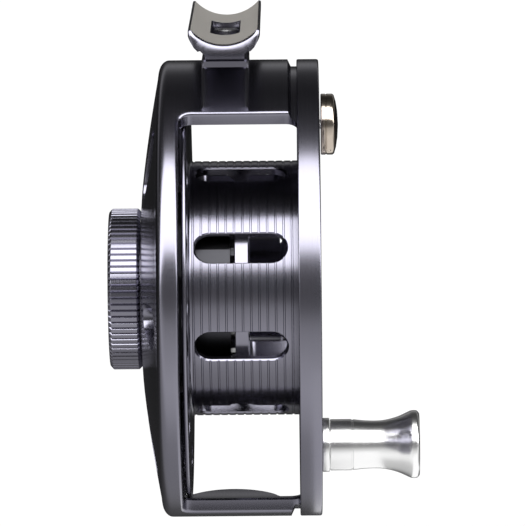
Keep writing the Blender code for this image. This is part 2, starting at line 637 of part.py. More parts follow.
ANODISED = material("gunmetal_anodised", (0.23, 0.225, 0.29), 0.25, 1.0)
ALUMINIUM = material("polished_aluminium", (0.83, 0.83, 0.84), 0.15, 1.0)
RAW_ALUMINIUM = material("blasted_aluminium", (0.62, 0.60, 0.57), 0.45, 1.0)
NICKEL = material("polished_nickel", (0.66, 0.61, 0.54), 0.12, 1.0)
STEEL = material("stainless_steel", (0.6, 0.6, 0.6), 0.25, 1.0)
DARK_STEEL = material("blackened_steel", (0.08, 0.08, 0.085), 0.35, 1.0)
BRASS = material("brass", (0.75, 0.58, 0.28), 0.3, 1.0)
BRONZE = material("bronze", (0.55, 0.38, 0.2), 0.4, 1.0)
CARBON = material("carbon_composite", (0.03, 0.03, 0.03), 0.6, 0.0)
RUBBER = material("nitrile_rubber", (0.02, 0.02, 0.02), 0.7, 0.0)

SADDLE = empty("saddle", (0, 0, 0))
SPOOL_AXIS = empty("spool_axis", (0, 0, -AXIS_DROP), SADDLE)

build_frame()
build_foot()
build_housing()
build_spindle()
build_knob()
build_adjuster()
build_drag()
build_click()
build_spool()
build_bearings()
build_spool_fittings()
build_handle()
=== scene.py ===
"""The fly reel's looks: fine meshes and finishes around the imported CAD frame, in soft studio light.

Lengths in the shape code are in millimetres about the spool's axis: x runs along it towards the crank, and
turned parts are sections of (x, radius). Angles "ahead" run from straight up towards the front (-Y).
"""

import json
import math

import bmesh
import bpy
from mathutils import Matrix, Vector


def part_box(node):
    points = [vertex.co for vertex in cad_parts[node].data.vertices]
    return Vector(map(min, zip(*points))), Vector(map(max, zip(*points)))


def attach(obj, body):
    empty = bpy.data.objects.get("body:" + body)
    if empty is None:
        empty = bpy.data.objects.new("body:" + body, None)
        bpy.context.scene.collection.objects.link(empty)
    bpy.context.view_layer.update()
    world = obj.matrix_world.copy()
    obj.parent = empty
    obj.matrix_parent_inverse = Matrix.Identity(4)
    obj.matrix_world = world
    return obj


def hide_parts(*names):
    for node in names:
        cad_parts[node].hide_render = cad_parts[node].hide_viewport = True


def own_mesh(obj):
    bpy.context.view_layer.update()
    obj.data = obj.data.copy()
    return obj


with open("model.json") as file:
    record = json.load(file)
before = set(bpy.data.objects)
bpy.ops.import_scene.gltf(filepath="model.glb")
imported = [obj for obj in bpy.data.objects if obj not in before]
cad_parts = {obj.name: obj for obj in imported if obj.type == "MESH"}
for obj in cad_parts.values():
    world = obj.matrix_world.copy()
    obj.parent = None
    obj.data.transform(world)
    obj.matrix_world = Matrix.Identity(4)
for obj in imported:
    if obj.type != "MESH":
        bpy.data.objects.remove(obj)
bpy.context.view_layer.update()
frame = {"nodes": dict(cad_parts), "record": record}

MM = 0.001
JOINTS = {j["name"]: j for j in frame["record"]["behaviour"]["joints"]}
AXIS = Vector(JOINTS["spool_spin"]["pos_m"])
AXIS_DROP = 55.0  # from the rod seat down to the spool's axis
OUTER_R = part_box("spool")[1].y / MM
FACE_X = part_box("spool")[1].x / MM
BACK_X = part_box("spool")[0].x / MM
ROUND = 240  # facets round the frame and the spool
SHARP = 32  # degrees past which an edge is sharp
FILLET_STEPS = 4

# Frame
FRAME_INNER_R = 45.2
HUB_X = -18.0
HUB_R = 19.0
DOME_R = 45.2
DOME_RISE = 3.8
DOME_POWER = 1.28
SHOULDER_X = -12.0
PLATE = 2.6
BOSS_X = -22.6
BOSS_R = 11.0
BOSS_BORE_R = 8.0
SEAT_X = -13.4  # the drag housing's seat on the plate
SEAT_R = 22.3
INSIDE_R = 43.5  # where the plate's inside meets the corner under the bars
CORNER_X = -11.2
BAR_END_X = 12.9
RING_R = 46.7
RING_END_X = 17.4
WINDOW_X = (-9.6, 15.0)
WINDOW_CORNER = 2.5
WINDOW_R = 38.0  # how far in the windows are cut
CLEAR_R = 56.0  # past the frame and its pedestal
TOP_BAR_HALF = 33.4
BOTTOM_BAR = (158.3, 182.0)
BOTTOM_BAR_LEAN = 0.8
BOTTOM_BAR_BULGE = 7.1
BULGE_X = (0.6, 9.6)  # middle and half length
UNDERCUT = 8.2  # degrees that the first window runs on inside the bottom bar
CHAMFER = 0.5
EDGE = 0.75  # rounding round the windows
PORTS = 6
FIRST_PORT = 33.5
PORT = (26.0, 42.6, 6.4, 9.2)  # inner and outer end, width at each
PEDESTAL = (4.85, 14.6, 50.0)  # half width, half length and top
PEDESTAL_SLOPE = ((-26.5, 40.1), (-24.9, 41.75))
HOUSING_SCREWS = 3
HOUSING_SCREW_R = 13.6
DETENT_R = 14.2

# Foot
FOOT_HALF_LENGTH = 32.0
FOOT_HALF_WIDTH = 7.35
FOOT_CORNER = 1.2
FOOT_GAP = 0.02  # between the foot and the pedestal
SADDLE_R = 9.2
SADDLE_EDGE = 0.53  # from the saddle's edge to the foot's side
STEM_HALF_X = 4.25
STEM_HALF_Y = 16.4
POCKET = (3.1, 13.0, 2.6)  # half width, half length and depth
SCREW_Y = 8.0
SCREW_HOLE_R = 1.7

# Spool
ARBOR_R = 26.85
ARBOR_INNER_R = 25.2
RIB_PITCH = 1.71
FIRST_RIB_X = -7.0
SLOTS = 8
FIRST_SLOT = 18.2
SLOT_X = (-6.6, 12.3)
SLOT_HALF = 3.15
SLOT_DEPTH_R = 23.3
FACE_BACK_X = 17.8
RIM_X = 14.8
RIM_INNER_R = 47.1
FACE_PORTS = 16
FACE_PORT = (31.0, 43.6, 5.4, 8.6)  # inner and outer end, width at each
BACK_FLANGE_R = 44.8
WEB_X = 4.3
HUB_CAP_R = 11.3
CRANK_R = 38.0
WEIGHT_ANGLE = FIRST_SLOT
CRANK_ANGLE = FIRST_SLOT + 180

# Knob
KNOB_X = (-25.0, -18.3)
KNOB_R = 17.0
SPLINES = 80
SPLINE_DEPTH = 0.4


# Shaping


def place(degrees, out):
    """(y, z) at that radius, turned from straight up towards the front."""
    a = math.radians(degrees)
    return -out * math.sin(a), out * math.cos(a)


def soft(corners):
    """An open section whose corners (x, r, fillet radius) are rounded. A corner of (x, r) stays sharp."""
    points = []
    count = len(corners)
    for k, corner in enumerate(corners):
        x, r = corner[:2]
        radius = corner[2] if len(corner) > 2 else 0
        if not radius or k in (0, count - 1):
            points.append((x, r))
            continue
        here = Vector((x, r))
        a = (Vector(corners[k - 1][:2]) - here).normalized()
        b = (Vector(corners[k + 1][:2]) - here).normalized()
        half = a.angle(b) / 2
        middle = here + (a + b).normalized() * radius / math.sin(half)
        start = here + a * radius / math.tan(half) - middle
        end = here + b * radius / math.tan(half) - middle
        sweep = start.angle_signed(end)
        for i in range(FILLET_STEPS + 1):
            t = -sweep * i / FILLET_STEPS
            spoke = Matrix.Rotation(t, 2) @ start
            points.append(tuple(middle + spoke))
    return points


def linked(name, mesh):
    obj = bpy.data.objects.new(name, mesh)
    bpy.context.scene.collection.objects.link(obj)
    return obj


def shade(mesh, sharp=SHARP):
    mesh.shade_smooth()
    mesh.set_sharp_from_angle(angle=math.radians(sharp))


def mesh_object(name, bm, location=AXIS, sharp=SHARP):
    bmesh.ops.recalc_face_normals(bm, faces=bm.faces)
    mesh = bpy.data.meshes.new(name)
    bm.to_mesh(mesh)
    bm.free()
    shade(mesh, sharp)
    obj = linked(name, mesh)
    obj.location = location
    return obj


def turned(section, steps=ROUND):
    """A section of (x, radius) turned about the X axis."""
    bm = bmesh.new()
    verts = [bm.verts.new((x * MM, 0, r * MM)) for x, r in section]
    edges = [bm.edges.new(pair) for pair in zip(verts, verts[1:])]
    if section[0][1] > 0:
        edges.append(bm.edges.new((verts[-1], verts[0])))
    spun = {"cent": (0, 0, 0), "axis": (1, 0, 0), "angle": 2 * math.pi, "steps": steps}
    bmesh.ops.spin(bm, geom=verts + edges, use_merge=True, **spun)
    bmesh.ops.remove_doubles(bm, verts=bm.verts, dist=1e-7)
    return bm


def rod(x0, x1, r, steps=48):
    return turned([(x0, 0), (x0, r), (x1, r), (x1, 0)], steps)


def side_walls(bm, rings):
    count = len(rings[0])
    for first, second in zip(rings, rings[1:]):
        for i in range(count):
            j = (i + 1) % count
            bm.faces.new((first[i], first[j], second[j], second[i]))


def skin(loops):
    """A closed body through loops of (x, y, z). The second half of each loop runs back along the first."""
    bm = bmesh.new()
    rings = [[bm.verts.new([c * MM for c in point]) for point in loop] for loop in loops]
    side_walls(bm, rings)
    count = len(rings[0])
    for end in (rings[0], rings[-1]):
        for i in range(count // 2 - 1):
            bm.faces.new((end[i], end[i + 1], end[count - 2 - i], end[count - 1 - i]))
    bmesh.ops.remove_doubles(bm, verts=bm.verts, dist=2e-6)
    bmesh.ops.triangulate(bm, faces=bm.faces)
    return bm


def stack(outline, levels):
    """A body through copies of an outline of (y, z), which is outline(grow) at each x of levels (x, grow)."""
    bm = bmesh.new()
    rings = []
    for x, grow in levels:
        rings.append([bm.verts.new((x * MM, y * MM, z * MM)) for y, z in outline(grow)])
    side_walls(bm, rings)
    bm.faces.new(rings[0])
    bm.faces.new(reversed(rings[-1]))
    bmesh.ops.triangulate(bm, faces=[f for f in bm.faces if len(f.verts) > 4])
    return bm


def prism(outline, x0, x1):
    """A straight body from x0 to x1 with that outline of (y, z)."""
    return stack(lambda grow: outline, [(x0, 0), (x1, 0)])


def hexagon(corner_r):
    return [place(60 * k, corner_r) for k in range(6)]


def turn(bm, degrees, axis="X"):
    matrix = Matrix.Rotation(math.radians(degrees), 3, axis)
    bmesh.ops.rotate(bm, verts=bm.verts, cent=(0, 0, 0), matrix=matrix)
    return bm


def moved(bm, y=0.0, z=0.0):
    bmesh.ops.translate(bm, verts=bm.verts, vec=(0, y * MM, z * MM))
    return bm


def ahead(bm, degrees, out=0.0):
    """The shape moved up by out, then turned about the spool's axis towards the front."""
    return turn(moved(bm, z=out), degrees)


def upright(bm):
    """The shape with its X axis turned to point up."""
    return turn(bm, -90, "Y")


def gather(shapes):
    """Several shapes that don't touch as one bmesh."""
    whole = bmesh.new()
    for bm in shapes:
        mesh = bpy.data.meshes.new("shape")
        bm.to_mesh(mesh)
        bm.free()
        whole.from_mesh(mesh)
        bpy.data.meshes.remove(mesh)
    return whole


def cut(obj, tools, operation="DIFFERENCE"):
    """Cuts or joins each tool in turn, and leaves the result as the object's own mesh."""
    for bm in tools:
        tool = mesh_object("tool", bm, obj.location)
        modifier = obj.modifiers.new("cut", "BOOLEAN")
        modifier.operation = operation
        modifier.solver = "MANIFOLD"
        modifier.object = tool
        graph = bpy.context.evaluated_depsgraph_get()
        mesh = bpy.data.meshes.new_from_object(obj.evaluated_get(graph))
        mesh.materials.clear()
        obj.modifiers.clear()
        obj.data = mesh
        bpy.data.objects.remove(tool)
    shade(obj.data)
    return obj


def obround(half_width, x0, x1, grow=0.0, steps=14):
    """An outline of (across, along) with two round ends."""
    half = half_width + grow
    points = []
    for centre, first in ((x1 - half_width, 0), (x0 + half_width, 180)):
        for i in range(steps + 1):
            a = math.radians(first + 180 * i / steps)
            points.append((half * math.cos(a), centre + half * math.sin(a)))
    return points


def port_outline(r0, r1, inner, outer, grow=0.0, steps=10):
    """A radial opening with a round end of each width, as (y, z) about the top."""
    a, b = inner / 2, outer / 2
    low, high = r0 + a, r1 - b
    lean = math.degrees(math.asin((b - a) / (high - low)))
    points = []
    ends = ((b, high, -lean, 180 + 2 * lean), (a, low, 180 + lean, 180 - 2 * lean))
    for radius, centre, first, sweep in ends:
        for i in range(steps + 1):
            t = math.radians(first + sweep * i / steps)
            points.append(((radius + grow) * math.cos(t), centre + (radius + grow) * math.sin(t)))
    return points


# Finishes


def node(tree, kind, **values):
    made = tree.nodes.new(kind)
    for key, value in values.items():
        setattr(made, key, value)
    return made


def maths(tree, operation, a, b=None):
    made = node(tree, "ShaderNodeMath", operation=operation)
    for socket, value in zip(made.inputs, (a, b)):
        if value is None:
            continue
        if isinstance(value, (int, float)):
            socket.default_value = value
        else:
            tree.links.new(value, socket)
    return made.outputs[0]


def surface(name, metallic):
    """A new material as (material, its tree, its shader and the coordinates of its object)."""
    made = bpy.data.materials.new(name)
    made.use_nodes = True
    tree = made.node_tree
    shader = tree.nodes["Principled BSDF"]
    shader.inputs["Metallic"].default_value = metallic
    return made, tree, shader, node(tree, "ShaderNodeTexCoord").outputs["Object"]


def grain(tree, coordinates, scale, detail):
    noise = node(tree, "ShaderNodeTexNoise")
    noise.inputs["Scale"].default_value = scale
    noise.inputs["Detail"].default_value = detail
    tree.links.new(coordinates, noise.inputs["Vector"])
    return noise.outputs[0]


def colour_by(tree, shader, factor, a, b):
    colours = node(tree, "ShaderNodeMix", data_type="RGBA")
    tree.links.new(factor, colours.inputs["Factor"])
    colours.inputs["A"].default_value = (*a, 1)
    colours.inputs["B"].default_value = (*b, 1)
    tree.links.new(colours.outputs["Result"], shader.inputs["Base Color"])


def relief(tree, shader, height, roughness, spread, strength, depth):
    """Gloss and bump that both follow height. Depth is in millimetres."""
    gloss = node(tree, "ShaderNodeMapRange")
    gloss.inputs["To Min"].default_value = roughness - spread
    gloss.inputs["To Max"].default_value = roughness + spread
    tree.links.new(height, gloss.inputs["Value"])
    tree.links.new(gloss.outputs[0], shader.inputs["Roughness"])
    bump = node(tree, "ShaderNodeBump")
    bump.inputs["Strength"].default_value = strength
    bump.inputs["Distance"].default_value = depth * MM
    tree.links.new(height, bump.inputs["Height"])
    tree.links.new(bump.outputs[0], shader.inputs["Normal"])


def metal(name, colour, roughness, lines=0.6, pitch=0.35):
    """A metal turned about its object's X axis: fine rings in bump and gloss, and a faint drift of colour."""
    made, tree, shader, coordinates = surface(name, 1.0)
    apart = node(tree, "ShaderNodeSeparateXYZ")
    tree.links.new(coordinates, apart.inputs[0])
    squares = [maths(tree, "MULTIPLY", apart.outputs[k], apart.outputs[k]) for k in (1, 2)]
    radius = maths(tree, "SQRT", maths(tree, "ADD", *squares))
    along = maths(tree, "ADD", apart.outputs[0], maths(tree, "MULTIPLY", radius, 0.8))
    rings = node(tree, "ShaderNodeTexNoise", noise_dimensions="1D")
    rings.inputs["Scale"].default_value = 1 / (pitch * MM)
    rings.inputs["Detail"].default_value = 2.0
    tree.links.new(along, rings.inputs["W"])
    drift = grain(tree, coordinates, 60.0, 3.0)
    colour_by(tree, shader, drift, colour, [c * 0.86 for c in colour])
    relief(tree, shader, rings.outputs[0], roughness, 0.03, lines, 0.004)
    return made


def dull(name, colour, roughness, scale, depth, metallic=0.0):
    """A grained surface: rubber, carbon or blasted metal."""
    made, tree, shader, coordinates = surface(name, metallic)
    grains = grain(tree, coordinates, scale, 4.0)
    colour_by(tree, shader, grains, [c * 0.75 for c in colour], [c * 1.2 for c in colour])
    relief(tree, shader, grains, roughness, 0.08, 0.5, depth)
    return made


ANODISED = metal("anodised", (0.228, 0.223, 0.268), 0.21, lines=0.3)
POLISHED = metal("polished_aluminium", (0.93, 0.93, 0.93), 0.24, lines=0.8, pitch=0.25)
NICKEL = metal("polished_nickel", (0.54, 0.47, 0.4), 0.13, lines=1.0, pitch=0.5)
STEEL = metal("stainless_steel", (0.58, 0.58, 0.59), 0.22)
BRASS = metal("brass", (0.72, 0.54, 0.26), 0.28)
BRONZE = metal("bronze", (0.5, 0.34, 0.19), 0.4)
BLACK_METAL = metal("black_anodised", (0.045, 0.045, 0.05), 0.32)
BLASTED = dull("blasted_aluminium", (0.6, 0.575, 0.54), 0.5, 9000, 0.012, metallic=1.0)
CARBON = dull("carbon_composite", (0.03, 0.03, 0.033), 0.5, 3000, 0.01)
RUBBER = dull("nitrile_rubber", (0.018, 0.018, 0.018), 0.65, 4000, 0.01)


def finish(obj, material, body, nodes):
    """Gives the piece its material, unless it has its own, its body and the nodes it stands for."""
    if not obj.data.materials:
        obj.data.materials.append(material)
    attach(obj, body)
    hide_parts(*nodes)
    return obj


# Frame


def dome_x(r):
    return HUB_X + DOME_RISE * max(0.0, (r - HUB_R) / (DOME_R - HUB_R)) ** DOME_POWER


def frame_section():
    """The boss, the domed back, the shoulder, the front ring, the plate's inside and the drag's seat."""
    dome = [(dome_x(r), r) for r in (HUB_R + (DOME_R - HUB_R) * k / 16 for k in range(17))]
    shoulder = []
    for k in range(1, 11):
        t = math.radians(9 * k)
        drop = (dome_x(DOME_R) - SHOULDER_X) * math.cos(t)
        shoulder.append((SHOULDER_X + drop, DOME_R + (OUTER_R - DOME_R) * math.sin(t)))
    inside = [(dome_x(r) + PLATE, r) for r in (INSIDE_R - 1.6 * k for k in range(13))]
    groove = [(-22.0, BOSS_R), (-22.0, 10.2), (-21.2, 10.2), (-21.2, BOSS_R)]
    boss = soft([(BOSS_X, BOSS_BORE_R), (BOSS_X, BOSS_R, 0.3), *groove, (HUB_X, BOSS_R)])
    front = [shoulder[-1], (BAR_END_X, OUTER_R), (BAR_END_X + 0.7, RING_R), (RING_END_X, RING_R, 0.3)]
    front += [(RING_END_X, FRAME_INNER_R, 0.3), (CORNER_X, FRAME_INNER_R, 0.6), inside[0]]
    seat = [(SEAT_X, SEAT_R), (SEAT_X, 11.6), (-15.2, 11.6), (-15.2, BOSS_BORE_R)]
    return [*boss, *dome, *shoulder, *soft(front)[1:-1], *inside, *seat]


def inset(x, grow=0.0):
    """How far in a window's rounded end stands at x, when its outline is grown."""
    near = max(0.0, WINDOW_CORNER - min(x - WINDOW_X[0], WINDOW_X[1] - x))
    return WINDOW_CORNER - math.sqrt(max(0.0, (WINDOW_CORNER + grow) ** 2 - near**2))


def bulge(x):
    """The share of the bottom bar's bulge at x."""
    middle, half = BULGE_X
    return max(0.0, 1 - ((x - middle) / half) ** 2) ** 0.6


def window_edge():
    """The rounding on the outer wall, as (how far out of the window, how deep)."""
    turns = [math.radians(t) for t in (0, 18, 36, 54, 72, 90)]
    return [(EDGE * (1 - math.sin(t)), EDGE * (1 - math.cos(t))) for t in turns]


def window_stations():
    """(x, how far in the window is cut): first the rounding at its back end, then through the wall."""
    lo, hi = WINDOW_X
    corner = [WINDOW_CORNER * (1 - math.cos(math.radians(t))) for t in (0.5, 8, 16, 26, 36, 48, 60, 74, 90)]
    middle = [lo + WINDOW_CORNER + (hi - lo - 2 * WINDOW_CORNER) * k / 40 for k in range(1, 40)]
    stations = [(lo - EDGE - 0.05, OUTER_R + 0.05)]
    stations += [(lo - grow, OUTER_R - depth) for grow, depth in window_edge()[1:]]
    through = [lo + c for c in corner] + middle + [hi - c for c in reversed(corner)]
    return stations + [(x, WINDOW_R) for x in through]


def window(start, end, swell=0.0, lean=0.0, columns=90):
    """A cutter for one opening, with its outer edge rounded. Lean turns the face at its end upright."""
    edge = window_edge()
    loops = []
    for x, inner in window_stations():
        first, last = [], []
        for grow, depth in edge:
            step = math.degrees(inset(x, max(grow, WINDOW_X[0] - x)) / OUTER_R)
            r = max(inner, OUTER_R - depth)
            first.append((start + step + swell * bulge(x), r))
            last.append((end - step, r))
        a, b = first[0][0], last[0][0]
        lid = [(a + (b - a) * i / columns, CLEAR_R) for i in range(columns + 1)]
        a, b = first[-1][0], last[-1][0]
        last.append((b, max(inner, FRAME_INNER_R + CHAMFER)))
        if inner < FRAME_INNER_R and lean:
            last[-1] = (b - lean, FRAME_INNER_R + CHAMFER)
            b += UNDERCUT
        first.append((a, last[-1][1]))
        base = [(b + (a - b) * i / columns, inner) for i in range(columns + 1)]
        loop = [*lid, *last, *base, *reversed(first)]
        loops.append([(x, *place(angle, r)) for angle, r in loop])
    return skin(loops)


def pedestal():
    """The block under the foot, with sloped ends and bevelled rims."""
    half_x, half_y, top = PEDESTAL
    under = [place(-t, FRAME_INNER_R + 1.2) for t in range(33, -34, -3)]
    front = [*PEDESTAL_SLOPE, (-half_y, top - 1.5), (-half_y, top - 0.3), (-half_y + 0.3, top)]
    back = [(-y, z) for y, z in reversed(front)]
    bm = bmesh.new()
    outline = [*front, *back, *under]
    face = bm.faces.new([bm.verts.new((-half_x * MM, y * MM, z * MM)) for y, z in outline])
    pushed = bmesh.ops.extrude_face_region(bm, geom=[face])["geom"]
    verts = [v for v in pushed if isinstance(v, bmesh.types.BMVert)]
    bmesh.ops.translate(bm, verts=verts, vec=(2 * half_x * MM, 0, 0))
    rims = [e for e in bm.edges if abs(e.verts[0].co.x - e.verts[1].co.x) < 1e-6]
    rims = [e for e in rims if min(v.co.z for v in e.verts) > 41.7 * MM]
    rims = [e for e in rims if max(abs(v.co.y) for v in e.verts) > (half_y - 0.1) * MM]
    bmesh.ops.bevel(bm, geom=rims, offset=0.9 * MM, segments=3, profile=0.6, affect="EDGES")
    bmesh.ops.triangulate(bm, faces=[f for f in bm.faces if len(f.verts) > 4])
    return bm


def build_frame():
    shell = mesh_object("frame_shell", turned(frame_section()))
    cut(shell, [pedestal()], "UNION")
    front = window(TOP_BAR_HALF, BOTTOM_BAR[0], lean=BOTTOM_BAR_LEAN)
    cut(shell, [front, window(BOTTOM_BAR[1], 360 - TOP_BAR_HALF, BOTTOM_BAR_BULGE)])
    ports = []
    for k in range(PORTS):
        hole = prism(port_outline(*PORT), -20, -10)
        ports.append(ahead(hole, FIRST_PORT + 360 / PORTS * k))
    around = [60 + 360 / HOUSING_SCREWS * k for k in range(HOUSING_SCREWS)]
    bores = [ahead(rod(-19, -12, 1.4), angle, HOUSING_SCREW_R) for angle in around]
    bores.append(ahead(rod(-19, -14.6, 1.3), 0, DETENT_R))
    sinks = [ahead(rod(-19, -16.2, 2.3), angle, HOUSING_SCREW_R) for angle in around]
    taps = [moved(upright(rod(45.6, 52, SCREW_HOLE_R)), y=y) for y in (-SCREW_Y, SCREW_Y)]
    cut(shell, [gather(ports + bores + taps), gather(sinks)])
    finish(shell, ANODISED, "frame_assembly", ["frame"])


# Foot


def saddle_z(x):
    return SADDLE_R - math.sqrt(SADDLE_R**2 - x**2)


def foot_loop(y, shrink=0.0):
    """Points (x, y, z) round the foot at y: the saddle's arc, then a side, the sole and the other side."""
    end = max(0.0, abs(y) - (FOOT_HALF_LENGTH - FOOT_CORNER))
    half = FOOT_HALF_WIDTH - FOOT_CORNER + math.sqrt(max(0.0, FOOT_CORNER**2 - end**2)) - 0.4 * shrink
    inner = half - SADDLE_EDGE
    count = 30
    saddle = [inner * (2 * k / count - 1) for k in range(count + 1)]
    saddle = [(x, saddle_z(abs(x)) - shrink) for x in saddle]
    sole = max(PEDESTAL[2] + FOOT_GAP - AXIS_DROP, -1.9 - 0.18 * (FOOT_HALF_LENGTH - abs(y)))
    edge = saddle_z(inner) - shrink
    foot = STEM_HALF_X - 0.2
    side = [(half - 0.12, edge - 0.06), (half, edge - 0.3), (half, edge - 1.3), (half - 0.2, edge - 2.0)]
    side += [(min(6.4, half - 0.5), min(0.1, edge - 2.3))]
    side += [(min(5.6, half - 1.0), min(max(-0.75, sole / 2), edge - 2.8))]
    side += [(4.9, max(-1.3, 0.72 * sole)), (STEM_HALF_X, max(-2.2, sole))]
    under = [(foot * (1 - 2 * k / (count - 14)), sole) for k in range(count - 13)]
    other = [(-x, z) for x, z in reversed(side)]
    lean = 0.1 if end else 0.0
    back = math.copysign(lean, y)
    return [(x, y - back * max(0.0, z + 1.9), z) for x, z in [*saddle, *side, *under, *other]]


def build_foot():
    tip = ((0.12, 0.75), (0.3, 0.4), (0.6, 0.15), (0.95, 0.0))
    ends = [(FOOT_HALF_LENGTH - d, shrink) for d, shrink in tip]
    ends += [(FOOT_HALF_LENGTH - d, 0.0) for d in (FOOT_CORNER, 3.0, 6.0, 9.0, 12.0)]
    ends += [(STEM_HALF_Y, 0.0), (14.0, 0.0), (7.0, 0.0)]
    stations = [(-y, shrink) for y, shrink in ends] + [(0, 0.0)] + list(reversed(ends))
    foot = mesh_object("foot", skin([foot_loop(y, shrink) for y, shrink in stations]), Vector())
    half_x, half_y, depth = POCKET
    recess = prism(rounded_box(half_x, half_y, 0.5), -depth, 5)
    holes = [moved(upright(rod(-6, 1, SCREW_HOLE_R)), y=y) for y in (-SCREW_Y, SCREW_Y)]
    cut(foot, [upright(recess), gather(holes)])
    for made in (ANODISED, BLASTED):
        foot.data.materials.append(made)
    for face in foot.data.polygons:
        centre = face.center / MM
        above = saddle_z(min(abs(centre.x), FOOT_HALF_WIDTH)) - centre.z
        bare = face.normal.z > 0.3 and above < 0.08 and abs(centre.y) < FOOT_HALF_LENGTH - 0.9
        face.material_index = 1 if bare else 0
    finish(foot, ANODISED, "frame_assembly", ["reel_foot"])
    for y, name in ((-SCREW_Y, "foot_screw_front"), (SCREW_Y, "foot_screw_rear")):
        screw(name, depth - 0.3, 2.6, 1.5, 1.4, 6.4, Vector((0, y * MM, 0)), "frame_assembly", stand=True)


def rounded_box(half_x, half_y, radius, steps=5):
    """An outline of (y, -x) with round corners."""
    points = []
    for k, (sx, sy) in enumerate(((1, 1), (-1, 1), (-1, -1), (1, -1))):
        for i in range(steps + 1):
            a = math.radians(90 * k + 90 * i / steps)
            x = sx * (half_x - radius) + radius * math.cos(a)
            y = sy * (half_y - radius) + radius * math.sin(a)
            points.append((y, -x))
    return points


def screw(name, head_x, head_r, head_length, shank_r, shank_length, where, body, way=1, stand=False):
    """A socket screw with its head's underside at head_x, standing along X or, with stand, along Z."""
    face = head_x - way * head_length
    corners = [(head_x + way * shank_length, 0), (head_x + way * shank_length, shank_r), (head_x, shank_r)]
    corners += [(head_x, head_r), (face + way * 0.25, head_r), (face, head_r - 0.25), (face, 0)]
    bm = turned(corners, 48)
    depth = 0.7 * head_length
    socket_r = 1.05 * head_r / 2 / math.cos(math.radians(30))
    socket = prism(hexagon(socket_r), face - way, face + way * depth)
    if stand:
        turn(bm, 90, "Y")
        turn(socket, 90, "Y")
    obj = mesh_object(name + "_fine", bm, where)
    cut(obj, [socket])
    finish(obj, STEEL, body, [name])


# Spool


def slot_angle(k):
    return FIRST_SLOT + 360 / SLOTS * k


def arbor_grooves():
    """The arbor's outer surface between its fillets, with a groove at each rib's edge."""
    start, end = BACK_X + 1.6, FACE_BACK_X - 0.6
    line = [(start, ARBOR_R)]
    x = FIRST_RIB_X
    while x < end - 0.5:
        for dx, depth in ((-0.24, 0), (-0.12, 0.16), (0.12, 0.16), (0.24, 0)):
            line.append((x + dx, ARBOR_R - depth))
        x += RIB_PITCH
    line.append((end, ARBOR_R))
    return line


def spool_section():
    """The rear hub, the back flange, the arbor, the face with its rim, the web and the front hub."""
    back = [(0.2, ARBOR_INNER_R), (BACK_X, ARBOR_INNER_R, 0.3), (BACK_X, BACK_FLANGE_R, 0.48)]
    back += [(BACK_X + 1.0, BACK_FLANGE_R, 0.48), (BACK_X + 1.0, ARBOR_R, 0.6), (BACK_X + 1.7, ARBOR_R)]
    face = [(FACE_BACK_X - 0.7, ARBOR_R), (FACE_BACK_X, ARBOR_R, 0.6), (FACE_BACK_X, RIM_INNER_R)]
    face += [(RIM_X, RIM_INNER_R), (RIM_X, OUTER_R, 0.3), (FACE_X, OUTER_R, 0.45)]
    face += [(FACE_X, ARBOR_INNER_R, 0.4), (5.8, ARBOR_INNER_R)]
    web = [(5.8, ARBOR_INNER_R), (WEB_X, ARBOR_INNER_R - 0.2, 1.0), (WEB_X, 11.4, 0.4), (11.0, 11.4)]
    hub = [(11.0, 9.4), (13.6, 9.4), (13.6, 7.4), (9.6, 7.4), (9.6, 6.3), (5.8, 6.3), (5.8, 7.4)]
    rear = [(-0.6, 7.4), (-0.6, 10.8), (1.7, 10.8), (1.7, 23.7), (0.2, ARBOR_INNER_R)]
    return [*rear, *soft(back)[1:-1], *arbor_grooves(), *soft(face)[1:-1], *soft(web), *hub]


def spool_slots():
    """Cutters for the arbor's slots, which are bevelled at the arbor's surface."""
    levels = [(SLOT_DEPTH_R, 0), (ARBOR_R - 0.55, 0), (ARBOR_R + 0.1, 0.5), (30, 0.5)]
    slots = []
    for k in range(SLOTS):
        outline = stack(lambda grow: obround(SLOT_HALF, -SLOT_X[1], -SLOT_X[0], grow), levels)
        slots.append(ahead(upright(outline), slot_angle(k)))
    return slots


def face_ports():
    """Cutters for the face's ports, with none where the crank and the counterweight stand."""
    levels = [(17, 0), (FACE_X - 0.35, 0), (FACE_X + 0.05, 0.4), (20, 0.4)]
    ports = []
    for k in range(FACE_PORTS):
        if k % (FACE_PORTS // 2):
            hole = stack(lambda grow: port_outline(*FACE_PORT, grow), levels)
            ports.append(ahead(hole, FIRST_SLOT + 360 / FACE_PORTS * k))
    return ports


def build_spool():
    spool = mesh_object("spool_body", turned(spool_section()))
    socket = prism(hexagon(9.007), -1, 1.7)
    web = [ahead(rod(1, 5, 3.9), slot_angle(k), 15.6) for k in range(SLOTS)]
    back = [ahead(rod(-10, -7, 4.2), slot_angle(k + 0.5), 36.0) for k in range(SLOTS)]
    through, wide = [], []
    for angle, small_r, large_r in ((WEIGHT_ANGLE, 1.3, 2.5), (CRANK_ANGLE, 2.7, 3.9)):
        through.append(ahead(rod(17, 20, small_r), angle, CRANK_R))
        wide.append(ahead(rod(17, 18.8, large_r), angle, CRANK_R))
    holes = gather(back + face_ports() + through)
    cut(spool, [socket, gather(spool_slots()), gather(web), holes, gather(wide)])
    finish(spool, ANODISED, "spool_assembly", ["spool"])


def build_hub_cap():
    corners = [(15.9, 0), (15.9, 9.8), (11.4, 9.8), (11.4, HUB_CAP_R), (18.6, HUB_CAP_R, 0.7), (18.6, 0)]
    cap = mesh_object("hub_cap_fine", turned(soft(corners), 96))
    coin_slot = [(-6.0, -0.8), (6.0, -0.8), (6.0, 0.8), (-6.0, 0.8)]
    cut(cap, [prism(coin_slot, 17.8, 20)])
    finish(cap, ANODISED, "spool_assembly", ["hub_cap"])


def crank_place(degrees):
    y, z = place(degrees, CRANK_R)
    return AXIS + Vector((0, y, z)) * MM


